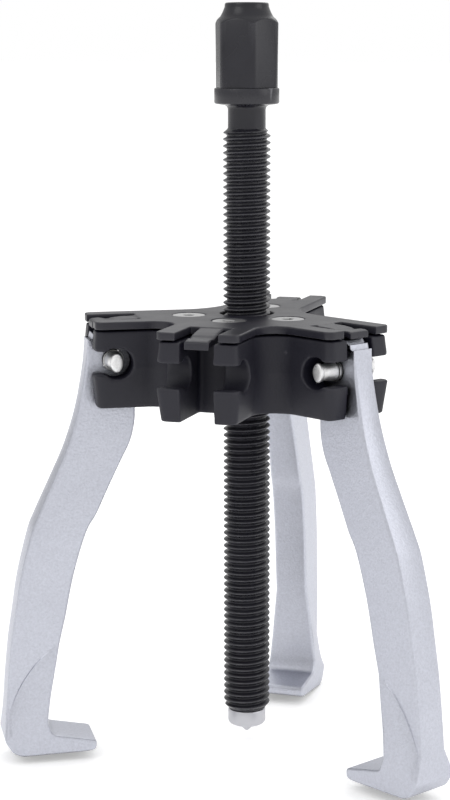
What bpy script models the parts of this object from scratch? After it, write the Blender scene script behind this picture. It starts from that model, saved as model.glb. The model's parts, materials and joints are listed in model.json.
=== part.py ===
"""Gear puller: a four-station body, three swinging arms and a screw spindle.

Metres, +Z up along the spindle.  The origin is the point of the pressure tip.  The rear arm
hangs at +Y, the left and right arms at 210 and 330 degrees, and the empty station faces -Y.
Inside a station, r is the distance from the spindle, t runs sideways and z is up.
"""
import math

import bmesh
import bpy
from mathutils import Euler, Matrix, Vector

# Stations: direction from the spindle, in degrees about +Z
STATIONS = {"rear": 90.0, "left": 210.0, "right": 330.0, "front": 270.0}
ARM_LEAN = {"rear": -5.8, "left": 0.2, "right": 1.5}   # degrees, outward is positive

# Spindle, M14 x 2 with a 17 mm hexagon
THREAD_RADIUS = 0.0070
THREAD_BOTTOM = 0.0077
THREAD_TOP = 0.1833
END_CHAMFER = 0.0013
RUN_OUT = 0.0010
NECK_RADIUS = 0.00555
COLLAR_RADIUS = 0.00955
COLLAR_BOTTOM = 0.1906
COLLAR_TOP = 0.1953
COLLAR_CHAMFER = 0.0006
NECK_FILLET = 0.0014
HEX_ACROSS_FLATS = 0.0170
HEX_TOP = 0.2141
HEX_CONE_TOP = 0.2169
HEX_CORNER_ANGLE = 58.2
HEAD_TOP_RADIUS = 0.0064
HEAD_TOP = 0.2197
HEAD_TOP_CHAMFER = 0.0008
END_BORE_RADIUS = 0.0030
END_BORE_TOP = 0.0174
SPINDLE_SIDES = 48

# Pressure tip, its ball and its snap ring
TIP_RADIUS = 0.0057
TIP_SHOULDER = 0.0033
TIP_CHAMFER = (0.0006, 0.0007)
TIP_TOP = 0.0074
POINT_FLAT_RADIUS = 0.0006
POINT_BASE_RADIUS = 0.0018
POINT_HEIGHT = 0.0014
SPIGOT_RADIUS = 0.0027
SPIGOT_TOP = 0.0120
RING_GROOVE_RADIUS = 0.0021
RING_RADII = (0.0024, 0.0034)
RING_HEIGHTS = (0.0091, 0.0096)
BORE_GROOVE_RADIUS = 0.0037
BALL_RADIUS = 0.0024
GAP = 0.0003

# Cutters run past the faces they open by this much
CUT_MARGIN = 0.0020

# Body block
BODY_BOTTOM = 0.1041
BODY_TOP = 0.1266
PARTING_HEIGHT = 0.1160
PRONG_HALF_WIDTH = 0.0125
PRONG_REACH = 0.0478
PRONG_CORNER = 0.0022
TOP_DRAFT = 0.0010
BOTTOM_DRAFT = 0.0013
NARROW_FILLET = 0.0060
WIDE_FILLET = 0.0180
BORE_RADIUS = 0.0073
SLOT_HALF_WIDTH = 0.0049
SLOT_BACK = 0.0295
TRUNNION_REACH = 0.0408
TRUNNION_HEIGHT = 0.1172
CHANNEL_RADIUS = 0.0046
MOUTH_HALF_HEIGHT = 0.0035

# Top plate
PLATE_BOTTOM = 0.1271
PLATE_TOP = 0.1294
PLATE_HALF_WIDTH = 0.0122
PLATE_REACH = 0.0470
PLATE_CORNER = 0.0022
PLATE_BORE = 0.0080
WINDOW_BACK = 0.0330
TONGUE_HALF_WIDTH = 0.0036
TONGUE_SLOT = 0.0027
TONGUE_THICKNESS = 0.0019
TONGUE_DROP = 0.0017
TONGUE_NOSE = (0.0025, 0.0006)   # length and fall of the nose
TONGUE_STEP = 0.00008            # the tongue lies this far under the plate's top

# Plate screws, M5 countersunk
SCREW_REACH = 0.0175
SCREW_HEAD_RADIUS = 0.00485
SCREW_HEAD_RIM = 0.0002
SCREW_HEAD_TOP = 0.1292
SCREW_SHANK_RADIUS = 0.0023
SCREW_CONE_HEIGHT = 0.0026
SCREW_BOTTOM = 0.1170
SCREW_SOCKET = 0.0030
SOCKET_DEPTH = 0.0019

# Arms, as (r, z) outlines in the plane of the arm
HEAD_HALF_WIDTH = 0.0036
SHANK_HALF_WIDTH = 0.0052
FOOT_HALF_WIDTH = 0.0078
TAPER_LEVELS = (0.0660, 0.1165)   # the shank narrows evenly between these heights, up to the head
HEAD_RADIUS = 0.0097
TOOTH_DEPTH = 0.0010
TOOTH_ANGLES = (30.0, 108.0)
TOOTH_COUNT = 6
TOOTH_TIP_SHARE = 0.75   # a tooth's tip lies at this share of its pitch
HEAD_INNER_REACH = 0.0343
PIN_BORE_RADIUS = 0.0032
OUTER_EDGE = ((0.0489, 0.1165), (0.0500, 0.1105), (0.0517, 0.1025), (0.0534, 0.0965),
              (0.0557, 0.0900), (0.0590, 0.0826), (0.0642, 0.0712), (0.0662, 0.0660),
              (0.0693, 0.0535), (0.0710, 0.0430), (0.0725, 0.0330), (0.0735, 0.0230))
INNER_EDGE = ((0.0556, 0.0412), (0.0531, 0.0535), (0.0493, 0.0660), (0.0461, 0.0716),
              (0.0424, 0.0795), (0.0386, 0.0873), (0.0358, 0.0930), (0.0344, 0.0990),
              (0.0343, 0.1050), (0.0343, 0.1165))
CREASE = ((0.0741, 0.0120), (0.0722, 0.0165), (0.0700, 0.0205), (0.0672, 0.0243),
          (0.0640, 0.0278), (0.0608, 0.0303), (0.0576, 0.0325))
FLARE_CORNER = ((0.0590, 0.0250), (0.0605, 0.0175), (0.0613, 0.0120))   # inner edge of the flare
FLARE_ENDS = ((0.0746, 0.0056), (0.0616, 0.0092))   # ends of the line where the foot is full width
FOOT = ((0.0603, 0.0056), (0.0470, 0.0031), (0.0472, 0.0001), (0.0495, -0.0004),
        (0.0695, -0.0008), (0.0722, 0.0004), (0.0745, 0.0040))
BORE_CUT_HALF = 0.0080

# Trunnion pins and their rings
PIN_RADIUS = 0.0028
PIN_WAIST_RADIUS = 0.0024
PIN_HALF_LENGTH = 0.0110
PIN_HEAD = (0.0018, 0.0010, 0.0004)   # distances from the end: waist, full height, chamfer
PIN_CHAMFER = 0.0005
PIN_HEAD_FLATNESS = 0.70              # the pressed end's width over its height
PIN_GROOVE = (0.0040, 0.0049)
PIN_GROOVE_RADIUS = 0.0021
PIN_RING_RADII = (0.0024, 0.0031)
PIN_RING_WIDTH = 0.0005

BLACK = (0.035, 0.035, 0.040)
ZINC = (0.62, 0.63, 0.67)
BRIGHT = (0.70, 0.70, 0.70)


def material(name, colour, roughness, metallic):
    """Return a Principled material with one colour."""
    made = bpy.data.materials.new(name)
    made.use_nodes = True
    shader = made.node_tree.nodes["Principled BSDF"]
    shader.inputs["Base Color"].default_value = (*colour, 1.0)
    shader.inputs["Roughness"].default_value = roughness
    shader.inputs["Metallic"].default_value = metallic
    made.diffuse_color = (*colour, 1.0)
    return made


def add_object(name, mesh_builder, finish=None, smooth=None):
    """Make an object from a bmesh, with its faces turned outward."""
    bmesh.ops.recalc_face_normals(mesh_builder, faces=mesh_builder.faces)
    mesh = bpy.data.meshes.new(name)
    mesh_builder.to_mesh(mesh)
    mesh_builder.free()
    if smooth is not None:
        mesh.shade_smooth()
        mesh.set_sharp_from_angle(angle=math.radians(smooth))
    made = bpy.data.objects.new(name, mesh)
    bpy.context.collection.objects.link(made)
    if finish:
        mesh.materials.append(material(name + "_finish", *finish))
    return made


def turned(profile, sides, axis="Z"):
    """Return a bmesh turned about an axis from (radius, height) points, closed at both ends."""
    bm = bmesh.new()
    rings = []
    for radius, height in profile:
        if radius < 1e-6:
            rings.append([bm.verts.new((0.0, 0.0, height))])
            continue
        ring = []
        for step in range(sides):
            angle = 2.0 * math.pi * step / sides
            ring.append(bm.verts.new((radius * math.cos(angle), radius * math.sin(angle), height)))
        rings.append(ring)
    for lower, upper in zip(rings, rings[1:]):
        for step in range(sides):
            after = (step + 1) % sides
            if len(lower) == 1:
                bm.faces.new((lower[0], upper[after], upper[step]))
            elif len(upper) == 1:
                bm.faces.new((lower[step], lower[after], upper[0]))
            else:
                bm.faces.new((lower[step], lower[after], upper[after], upper[step]))
    for ring in (rings[0], rings[-1]):
        if len(ring) > 1:
            bm.faces.new(ring)
    if axis == "Y":
        bmesh.ops.rotate(bm, verts=bm.verts, matrix=Matrix.Rotation(-math.pi / 2, 3, "X"))
    return bm


def ring_solid(inner, outer, low, high, sides, axis="Z"):
    """Return a bmesh of a flat ring."""
    bm = bmesh.new()
    loops = []
    for radius, height in ((inner, low), (outer, low), (outer, high), (inner, high)):
        loop = []
        for step in range(sides):
            angle = 2.0 * math.pi * step / sides
            loop.append(bm.verts.new((radius * math.cos(angle), radius * math.sin(angle), height)))
        loops.append(loop)
    for first, second in zip(loops, loops[1:] + loops[:1]):
        for step in range(sides):
            after = (step + 1) % sides
            bm.faces.new((first[step], first[after], second[after], second[step]))
    if axis == "Y":
        bmesh.ops.rotate(bm, verts=bm.verts, matrix=Matrix.Rotation(-math.pi / 2, 3, "X"))
    return bm


def prism(outline, low, high, bm=None):
    """Add a prism between two heights to a bmesh, from an (x, y) outline."""
    bm = bm or bmesh.new()
    bottom = [bm.verts.new((x, y, low)) for x, y in outline]
    top = [bm.verts.new((x, y, high)) for x, y in outline]
    bm.faces.new(reversed(bottom))
    bm.faces.new(top)
    bridge(bm, bottom, top)
    return bm


def bridge(bm, first, second):
    """Join two loops of the same length with a wall of quads."""
    count = len(first)
    for step in range(count):
        after = (step + 1) % count
        bm.faces.new((first[step], first[after], second[after], second[step]))


def boolean(target, other, operation="DIFFERENCE"):
    """Add an exact Boolean modifier to target, with other as its hidden cutter."""
    other.hide_render = True
    other.display_type = "WIRE"
    modifier = target.modifiers.new(other.name, "BOOLEAN")
    modifier.operation = operation
    modifier.object = other
    modifier.solver = "EXACT"


def at_station(points, angle):
    """Turn (r, t) points to the direction of a station."""
    turn = math.radians(angle)
    cosine, sine = math.cos(turn), math.sin(turn)
    return [(r * cosine - t * sine, r * sine + t * cosine) for r, t in points]


def arc(centre, radius, start, end, steps):
    """Return points along an arc, angles in degrees."""
    points = []
    for step in range(steps + 1):
        angle = math.radians(start + (end - start) * step / steps)
        points.append((centre[0] + radius * math.cos(angle), centre[1] + radius * math.sin(angle)))
    return points


def star_outline(half_width, reach, corner, inset=0.0, gap_steps=6):
    """Return the four-pronged outline, counter-clockwise, moved inward by inset."""
    half, tip = half_width - inset, reach - inset
    angles = sorted(STATIONS.values())
    outline = []
    for index, angle in enumerate(angles):
        for centre_t, start in ((-half + corner, -90.0), (half - corner, 0.0)):
            rounded = arc((tip - corner, centre_t), corner, start, start + 90.0, 3)
            outline += at_station(rounded, angle)
        opening = (angles[(index + 1) % len(angles)] - angle) % 360.0
        fillet = (NARROW_FILLET if opening < 90.0 else WIDE_FILLET)
        middle = (half_width + fillet) / math.sin(math.radians(opening / 2.0))
        sweep = 90.0 - opening / 2.0
        hollow = arc((middle, 0.0), fillet + inset, 180.0 + sweep, 180.0 - sweep, gap_steps)
        outline += at_station(hollow, angle + opening / 2.0)
    return outline


def station_boxes(name, r_low, half_width, low, high):
    """Make one cutter with a box at each station, open outward."""
    bm = bmesh.new()
    r_high = PRONG_REACH + CUT_MARGIN
    corners = ((r_low, -half_width), (r_high, -half_width), (r_high, half_width), (r_low, half_width))
    for angle in STATIONS.values():
        prism(at_station(corners, angle), low - CUT_MARGIN, high + CUT_MARGIN, bm)
    return add_object(name, bm)


def channel_cutter():
    """Make the cutter of the trunnion channels: a round hole with a mouth outward."""
    bm = bmesh.new()
    mouth_angle = math.degrees(math.asin(MOUTH_HALF_HEIGHT / CHANNEL_RADIUS))
    centre = (TRUNNION_REACH, TRUNNION_HEIGHT)
    profile = arc(centre, CHANNEL_RADIUS, mouth_angle, 360.0 - mouth_angle, 16)
    outside = PRONG_REACH + CUT_MARGIN
    profile += [(outside, TRUNNION_HEIGHT - MOUTH_HALF_HEIGHT),
                (outside, TRUNNION_HEIGHT + MOUTH_HALF_HEIGHT)]
    side = PRONG_HALF_WIDTH + CUT_MARGIN
    for angle in STATIONS.values():
        turn = Matrix.Rotation(math.radians(angle), 3, "Z")
        near = [bm.verts.new(turn @ Vector((r, -side, z))) for r, z in profile]
        far = [bm.verts.new(turn @ Vector((r, side, z))) for r, z in profile]
        bm.faces.new(near)
        bm.faces.new(reversed(far))
        bridge(bm, near, far)
    return add_object("channel_cutter", bm)


def body_block():
    """Make the forged body with its bore, arm slots, trunnion channels and screw holes."""
    bm = bmesh.new()
    loops = []
    for height, inset in ((BODY_BOTTOM, BOTTOM_DRAFT), (PARTING_HEIGHT, 0.0), (BODY_TOP, TOP_DRAFT)):
        outline = star_outline(PRONG_HALF_WIDTH, PRONG_REACH, PRONG_CORNER, inset)
        loops.append([bm.verts.new((x, y, height)) for x, y in outline])
    bm.faces.new(reversed(loops[0]))
    bm.faces.new(loops[-1])
    bridge(bm, loops[0], loops[1])
    bridge(bm, loops[1], loops[2])
    body = add_object("body_block", bm, (BLACK, 0.45, 0.3))
    bore = turned([(BORE_RADIUS, BODY_BOTTOM - CUT_MARGIN), (BORE_RADIUS, BODY_TOP + CUT_MARGIN)], 32)
    boolean(body, add_object("bore_cutter", bore))
    boolean(body, station_boxes("slot_cutter", SLOT_BACK, SLOT_HALF_WIDTH, BODY_BOTTOM, BODY_TOP))
    boolean(body, channel_cutter())
    hole = SCREW_SHANK_RADIUS + GAP
    boolean(body, screw_shaped("thread_hole_cutter",
                               [(hole, SCREW_BOTTOM - GAP), (hole, BODY_TOP + CUT_MARGIN)]))


def screw_shaped(name, profile):
    """Make one cutter with a turned shape at each screw's place."""
    bm = bmesh.new()
    for angle in STATIONS.values():
        (x, y), = at_station([(SCREW_REACH, 0.0)], angle)
        one = turned(profile, 20)
        bmesh.ops.translate(one, verts=one.verts, vec=(x, y, 0.0))
        holder = bpy.data.meshes.new("one_screw_shape")
        one.to_mesh(holder)
        one.free()
        bm.from_mesh(holder)
        bpy.data.meshes.remove(holder)
    return add_object(name, bm)


def top_plate():
    """Make the plate, open over each arm slot but for its tongue."""
    outline = star_outline(PLATE_HALF_WIDTH, PLATE_REACH, PLATE_CORNER)
    plate = add_object("top_plate", prism(outline, PLATE_BOTTOM, PLATE_TOP), (BLACK, 0.40, 0.4))
    low, high = PLATE_BOTTOM - CUT_MARGIN, PLATE_TOP + CUT_MARGIN
    boolean(plate, add_object("plate_bore_cutter", turned([(PLATE_BORE, low), (PLATE_BORE, high)], 32)))
    window = TONGUE_HALF_WIDTH + TONGUE_SLOT
    boolean(plate, station_boxes("window_cutter", WINDOW_BACK, window, PLATE_BOTTOM, PLATE_TOP))
    cone = SCREW_HEAD_RADIUS + GAP
    shank = SCREW_SHANK_RADIUS + GAP
    boolean(plate, screw_shaped("countersink_cutter", [
        (shank, low), (shank, SCREW_HEAD_TOP - SCREW_CONE_HEIGHT),
        (cone, SCREW_HEAD_TOP - SCREW_HEAD_RIM), (cone, high)]))
    boolean(plate, tongues(), "UNION")


def tongues():
    """Make the four tongues: level over an arm, hanging lower at the empty station."""
    bm = bmesh.new()
    for station, angle in STATIONS.items():
        drop = TONGUE_DROP if station == "front" else 0.0
        nose_length, nose_fall = TONGUE_NOSE
        tip = PLATE_REACH - GAP
        root_top = PLATE_TOP - TONGUE_STEP
        line = ((WINDOW_BACK - CUT_MARGIN, root_top), (WINDOW_BACK + GAP, root_top),
                (tip - nose_length, PLATE_TOP - drop), (tip, PLATE_TOP - drop - nose_fall))
        turn = Matrix.Rotation(math.radians(angle), 3, "Z")
        rings = []
        for reach, top in line:
            low = top - TONGUE_THICKNESS
            ring = [(reach, -TONGUE_HALF_WIDTH, low), (reach, TONGUE_HALF_WIDTH, low),
                    (reach, TONGUE_HALF_WIDTH, top), (reach, -TONGUE_HALF_WIDTH, top)]
            rings.append([bm.verts.new(turn @ Vector(point)) for point in ring])
        bm.faces.new(reversed(rings[0]))
        bm.faces.new(rings[-1])
        for first, second in zip(rings, rings[1:]):
            bridge(bm, first, second)
    return add_object("tongue_shapes", bm)


def plate_screw(station, angle):
    """Make one countersunk screw with a hexagon socket."""
    cone_bottom = SCREW_HEAD_TOP - SCREW_CONE_HEIGHT
    profile = [(SCREW_SHANK_RADIUS, SCREW_BOTTOM), (SCREW_SHANK_RADIUS, cone_bottom),
               (SCREW_HEAD_RADIUS, SCREW_HEAD_TOP - SCREW_HEAD_RIM),
               (SCREW_HEAD_RADIUS, SCREW_HEAD_TOP)]
    screw = add_object("plate_screw_" + station, turned(profile, 24), (BRIGHT, 0.3, 0.9), smooth=30)
    (x, y), = at_station([(SCREW_REACH, 0.0)], angle)
    screw.location = (x, y, 0.0)
    corner = SCREW_SOCKET / math.sqrt(3.0)
    socket = add_object("socket_cutter_" + station, turned(
        [(corner, SCREW_HEAD_TOP - SOCKET_DEPTH), (corner, SCREW_HEAD_TOP + CUT_MARGIN)], 6))
    socket.location = screw.location
    boolean(screw, socket)


def spindle():
    """Make the spindle: threaded length as a plain rod of the thread's outer diameter."""
    groove_low = RING_HEIGHTS[0] - GAP
    groove_high = RING_HEIGHTS[1] + GAP
    profile = [(THREAD_RADIUS - END_CHAMFER, THREAD_BOTTOM),
               (THREAD_RADIUS, THREAD_BOTTOM + END_CHAMFER),
               (THREAD_RADIUS, THREAD_TOP), (NECK_RADIUS, THREAD_TOP + RUN_OUT),
               (NECK_RADIUS, COLLAR_BOTTOM - NECK_FILLET),
               (COLLAR_RADIUS - COLLAR_CHAMFER, COLLAR_BOTTOM),
               (COLLAR_RADIUS, COLLAR_BOTTOM + COLLAR_CHAMFER), (COLLAR_RADIUS, COLLAR_TOP),
               (HEAD_TOP_RADIUS, COLLAR_TOP + RUN_OUT), (HEAD_TOP_RADIUS, HEAD_TOP - HEAD_TOP_CHAMFER),
               (HEAD_TOP_RADIUS - HEAD_TOP_CHAMFER, HEAD_TOP)]
    rod = add_object("spindle", turned(profile, SPINDLE_SIDES), (BLACK, 0.42, 0.5), smooth=30)
    corner = HEX_ACROSS_FLATS / math.sqrt(3.0)
    hexagon = add_object("hexagon_shape", turned(
        [(corner, COLLAR_TOP - GAP), (corner, HEX_TOP),
         (HEAD_TOP_RADIUS - GAP, HEX_CONE_TOP)], 6))
    hexagon.rotation_euler = Euler((0.0, 0.0, math.radians(HEX_CORNER_ANGLE)))
    boolean(rod, hexagon, "UNION")
    bore = [(END_BORE_RADIUS, THREAD_BOTTOM - CUT_MARGIN), (END_BORE_RADIUS, groove_low),
            (BORE_GROOVE_RADIUS, groove_low), (BORE_GROOVE_RADIUS, groove_high),
            (END_BORE_RADIUS, groove_high), (END_BORE_RADIUS, END_BORE_TOP)]
    boolean(rod, add_object("end_bore_cutter", turned(bore, 24)))


def pressure_tip():
    """Make the tip that presses on the shaft, with its ball and snap ring above it."""
    groove_low = RING_HEIGHTS[0] - GAP
    groove_high = RING_HEIGHTS[1] + GAP
    profile = [(POINT_FLAT_RADIUS, 0.0), (POINT_BASE_RADIUS, POINT_HEIGHT),
               (TIP_RADIUS - TIP_CHAMFER[0], TIP_SHOULDER - TIP_CHAMFER[1]), (TIP_RADIUS, TIP_SHOULDER),
               (TIP_RADIUS, TIP_TOP), (SPIGOT_RADIUS, TIP_TOP), (SPIGOT_RADIUS, groove_low),
               (RING_GROOVE_RADIUS, groove_low), (RING_GROOVE_RADIUS, groove_high),
               (SPIGOT_RADIUS, groove_high), (SPIGOT_RADIUS, SPIGOT_TOP)]
    add_object("pressure_tip", turned(profile, 32), (BRIGHT, 0.3, 0.9), smooth=30)
    snap_ring = ring_solid(*RING_RADII, *RING_HEIGHTS, 24)
    add_object("tip_snap_ring", snap_ring, (BRIGHT, 0.35, 0.9), smooth=30)
    ball = bmesh.new()
    bmesh.ops.create_uvsphere(ball, u_segments=16, v_segments=10, radius=BALL_RADIUS)
    bmesh.ops.translate(ball, verts=ball.verts, vec=(0.0, 0.0, SPIGOT_TOP + GAP + BALL_RADIUS))
    add_object("thrust_ball", ball, (BRIGHT, 0.15, 1.0), smooth=60)


def head_outline():
    """Return the arm head's outline about the pin, from its outer side over to its inner side."""
    points = []
    root = HEAD_RADIUS - TOOTH_DEPTH
    pitch = (TOOTH_ANGLES[1] - TOOTH_ANGLES[0]) / TOOTH_COUNT
    for tooth in range(TOOTH_COUNT):
        start = TOOTH_ANGLES[0] + tooth * pitch
        points.append((root, start))
        points.append((HEAD_RADIUS, start + TOOTH_TIP_SHARE * pitch))
    last = math.degrees(math.acos((HEAD_INNER_REACH - TRUNNION_REACH) / root))
    steps = 4
    for step in range(steps + 1):
        points.append((root, TOOTH_ANGLES[1] + (last - TOOTH_ANGLES[1]) * step / steps))
    outline = []
    for radius, degrees in points:
        angle = math.radians(degrees)
        outline.append((TRUNNION_REACH + radius * math.cos(angle),
                        TRUNNION_HEIGHT + radius * math.sin(angle)))
    return outline


def shank_half_width(z):
    """Return half the arm's width at a height above the crease."""
    low, high = TAPER_LEVELS
    share = min(1.0, max(0.0, (z - low) / (high - low)))
    return SHANK_HALF_WIDTH + (HEAD_HALF_WIDTH - SHANK_HALF_WIDTH) * share


def flare_half_width(z):
    """Return half the arm's width at a height on the inner edge of the flare."""
    high, low = CREASE[-1][1], FLARE_ENDS[1][1]
    return FOOT_HALF_WIDTH + (SHANK_HALF_WIDTH - FOOT_HALF_WIDTH) * (z - low) / (high - low)


def flare_line():
    """Return the line where the foot reaches its full width, as many points as the crease has."""
    (r_outer, z_outer), (r_inner, z_inner) = FLARE_ENDS
    steps = len(CREASE) - 1
    return [(r_outer + (r_inner - r_outer) * step / steps, z_outer + (z_inner - z_outer) * step / steps)
            for step in range(steps + 1)]


def arm_mesh():
    """Return an arm about its pin: a narrow head, a widening shank and a foot flared below the crease."""
    bm = bmesh.new()
    taper_low = TAPER_LEVELS[0]

    def layer(points, half_width):
        return [bm.verts.new((r - TRUNNION_REACH, sign * half_width(z), z - TRUNNION_HEIGHT))
                for r, z in points]

    sides = []
    for sign in (-1.0, 1.0):
        outer_high = layer([point for point in OUTER_EDGE if point[1] >= taper_low], shank_half_width)
        outer_low = layer([point for point in OUTER_EDGE if point[1] < taper_low], shank_half_width)
        inner_low = layer([point for point in INNER_EDGE if point[1] < taper_low], shank_half_width)
        inner_high = layer([point for point in INNER_EDGE if point[1] >= taper_low], shank_half_width)
        head = layer(head_outline(), lambda z: HEAD_HALF_WIDTH)
        crease = layer(CREASE, shank_half_width)
        corner = layer(FLARE_CORNER, flare_half_width)
        full = layer(flare_line(), lambda z: FOOT_HALF_WIDTH)
        foot = layer(FOOT, lambda z: FOOT_HALF_WIDTH)
        bm.faces.new([outer_high[0]] + head + [inner_high[-1]])
        bm.faces.new(outer_high + inner_high)
        bm.faces.new([outer_high[-1]] + outer_low + crease + inner_low + [inner_high[0]])
        for step in range(len(crease) - 2):
            bm.faces.new((crease[step], crease[step + 1], full[step + 1], full[step]))
        last = bm.faces.new([crease[-2], crease[-1]] + corner + [full[-1], full[-2]])
        bmesh.ops.triangulate(bm, faces=[last])
        bm.faces.new(full + foot)
        sides.append([crease[0]] + outer_low[::-1] + outer_high[::-1] + head + inner_high[::-1]
                     + inner_low[::-1] + [crease[-1]] + corner + [full[-1]] + foot + [full[0]])
    bridge(bm, sides[0], sides[1])
    return bm


def pin_mesh():
    """Return a trunnion pin along Y: grooved for its rings, waisted, with its ends pressed oval."""
    waist, full, chamfer = (PIN_HALF_LENGTH - distance for distance in PIN_HEAD)
    half = [(PIN_RADIUS, PIN_GROOVE[0]), (PIN_GROOVE_RADIUS, PIN_GROOVE[0]),
            (PIN_GROOVE_RADIUS, PIN_GROOVE[1]), (PIN_RADIUS, PIN_GROOVE[1]),
            (PIN_WAIST_RADIUS, waist), (PIN_RADIUS, full), (PIN_RADIUS, chamfer),
            (PIN_RADIUS - PIN_CHAMFER, PIN_HALF_LENGTH)]
    whole = [(radius, -along) for radius, along in reversed(half)] + half
    bm = turned(whole, 20, "Y")
    for vert in bm.verts:
        if abs(vert.co.y) > waist:
            vert.co.x *= PIN_HEAD_FLATNESS
    return bm


def arm(station, angle):
    """Make one arm with its trunnion pin and the two rings that hold the pin."""
    turn = Euler((0.0, 0.0, math.radians(angle))).to_matrix()
    lean = Matrix.Rotation(math.radians(-ARM_LEAN[station]), 3, "Y")
    pivot = bpy.data.objects.new("arm_pivot_" + station, None)
    bpy.context.collection.objects.link(pivot)
    (x, y), = at_station([(TRUNNION_REACH, 0.0)], angle)
    pivot.location = (x, y, TRUNNION_HEIGHT)
    pivot.rotation_euler = (turn @ lean).to_euler()

    body = add_object("arm_" + station, arm_mesh(), (ZINC, 0.42, 0.7))
    body.parent = pivot
    bore = turned([(PIN_BORE_RADIUS, -BORE_CUT_HALF), (PIN_BORE_RADIUS, BORE_CUT_HALF)], 24, "Y")
    cutter = add_object("pin_bore_cutter_" + station, bore)
    cutter.parent = pivot
    boolean(body, cutter)

    pin = add_object("trunnion_pin_" + station, pin_mesh(), (ZINC, 0.4, 0.7), smooth=30)
    pin.parent = pivot
    middle = (PIN_GROOVE[0] + PIN_GROOVE[1]) / 2.0
    for side, sign in (("a", -1.0), ("b", 1.0)):
        low = sign * middle - PIN_RING_WIDTH / 2.0
        ring = ring_solid(*PIN_RING_RADII, low, low + PIN_RING_WIDTH, 20, "Y")
        made = add_object("pin_ring_%s_%s" % (station, side), ring, (BRIGHT, 0.35, 0.9), smooth=30)
        made.parent = pivot


def build():
    """Clear the scene and make every piece."""
    for old in list(bpy.data.objects):
        bpy.data.objects.remove(old, do_unlink=True)
    body_block()
    top_plate()
    for station, angle in STATIONS.items():
        plate_screw(station, angle)
    spindle()
    pressure_tip()
    for station in ARM_LEAN:
        arm(station, STATIONS[station])


build()
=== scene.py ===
"""The looks of the gear puller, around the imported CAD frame.

Metres, +Z up along the spindle, origin at the point of the pressure tip.  Inside an arm
station, r is the distance from the spindle, t runs sideways and z is up.
"""
import json
import math

import bmesh
import bpy
from mathutils import Matrix, Vector


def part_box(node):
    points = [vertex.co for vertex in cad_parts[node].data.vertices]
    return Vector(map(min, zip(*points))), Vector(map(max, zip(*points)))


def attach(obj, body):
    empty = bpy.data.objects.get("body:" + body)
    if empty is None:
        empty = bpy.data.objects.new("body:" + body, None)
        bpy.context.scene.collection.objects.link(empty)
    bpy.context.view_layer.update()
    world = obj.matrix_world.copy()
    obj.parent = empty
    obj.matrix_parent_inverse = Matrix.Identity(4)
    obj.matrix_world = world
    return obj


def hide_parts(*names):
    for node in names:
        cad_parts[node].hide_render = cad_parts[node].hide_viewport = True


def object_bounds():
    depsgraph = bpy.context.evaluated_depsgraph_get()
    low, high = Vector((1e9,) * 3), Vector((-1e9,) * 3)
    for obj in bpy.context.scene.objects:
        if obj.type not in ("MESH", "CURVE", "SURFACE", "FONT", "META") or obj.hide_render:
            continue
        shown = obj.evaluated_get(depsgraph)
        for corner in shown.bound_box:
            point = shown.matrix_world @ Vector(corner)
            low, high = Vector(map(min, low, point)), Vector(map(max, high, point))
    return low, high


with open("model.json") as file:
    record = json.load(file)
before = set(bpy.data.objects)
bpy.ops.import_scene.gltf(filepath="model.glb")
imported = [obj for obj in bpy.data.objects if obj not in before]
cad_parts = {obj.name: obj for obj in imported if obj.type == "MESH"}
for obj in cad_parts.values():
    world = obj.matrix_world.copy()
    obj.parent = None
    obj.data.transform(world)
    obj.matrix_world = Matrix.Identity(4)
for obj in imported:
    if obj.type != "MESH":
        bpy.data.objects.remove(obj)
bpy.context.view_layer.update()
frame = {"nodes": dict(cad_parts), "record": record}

STATIONS = {"rear": 90.0, "left": 210.0, "right": 330.0, "front": 270.0}
ARM_STATIONS = ("rear", "left", "right")


def joint_named(name):
    """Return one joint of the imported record."""
    return next(joint for joint in frame["record"]["behaviour"]["joints"] if joint["name"] == name)


def lean_of(station):
    """Return how far an arm leans outward at rest, in degrees, from its joint's range."""
    return ARM_INWARD_LIMIT - joint_named("arm_%s_swing" % station)["range_deg"][0]


# What the frame says
ARM_INWARD_LIMIT = -17.0
body_low, body_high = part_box("body_block")
plate_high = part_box("top_plate")[1]
spindle_low, spindle_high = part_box("spindle")
pin_low, pin_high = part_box("trunnion_pin_rear")
trunnion = joint_named("arm_rear_swing")["pos_m"]
TRUNNION_REACH, TRUNNION_HEIGHT = trunnion[1], trunnion[2]
BODY_BOTTOM, BODY_TOP = body_low[2], body_high[2]
PLATE_TOP = plate_high[2]
PIN_HALF_LENGTH = (pin_high[0] - pin_low[0]) / 2.0
THREAD_BOTTOM = spindle_low[2]
HEAD_TOP = spindle_high[2]

# Spindle
PITCH = 0.0020
THREAD_RADIUS = 0.0070
ROOT_RADIUS = 0.00585
THREAD_TOP = 0.1836
NECK_RADIUS = 0.00555
COLLAR_RADIUS = 0.00950
COLLAR_BOTTOM = 0.1906
COLLAR_TOP = 0.1953
HEX_FLAT_REACH = 0.00850
HEX_CORNER_ANGLE = 58.2
HEX_TOP = 0.2139
HEAD_TOP_RADIUS = 0.0064
THREAD_COLUMNS = 96
PROFILE_STEPS = 8
CREST_SHARE = 0.16  # flat shares of half a pitch, at the crest and at the root
ROOT_SHARE = 0.20
END_CHAMFER = 0.0014
RUNOUT_SLOPE = 1.2
NECK_START = 0.0015
NECK_FILLET = 0.0013
FILLET_STEPS = 5
COLLAR_LIP = 0.0002

# How its edges are rounded, as (inset, distance from the end) of each step
COLLAR_LOWER_EDGE = ((0.0006, 0.0001), (0.0002, 0.00025), (0.0, 0.0006))
COLLAR_UPPER_EDGE = ((0.0, 0.0003), (0.0001, 0.0001), (0.0003, 0.0))
HEX_FOOT = ((0.00010, 0.00002), (0.0, 0.00012))
HEX_RIM = ((0.0, 0.0003), (0.00012, 0.0))
HEAD_EDGE = ((0.0, 0.0007), (0.0001, 0.0003), (0.0004, 0.00006), (0.0009, 0.0))

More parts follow.
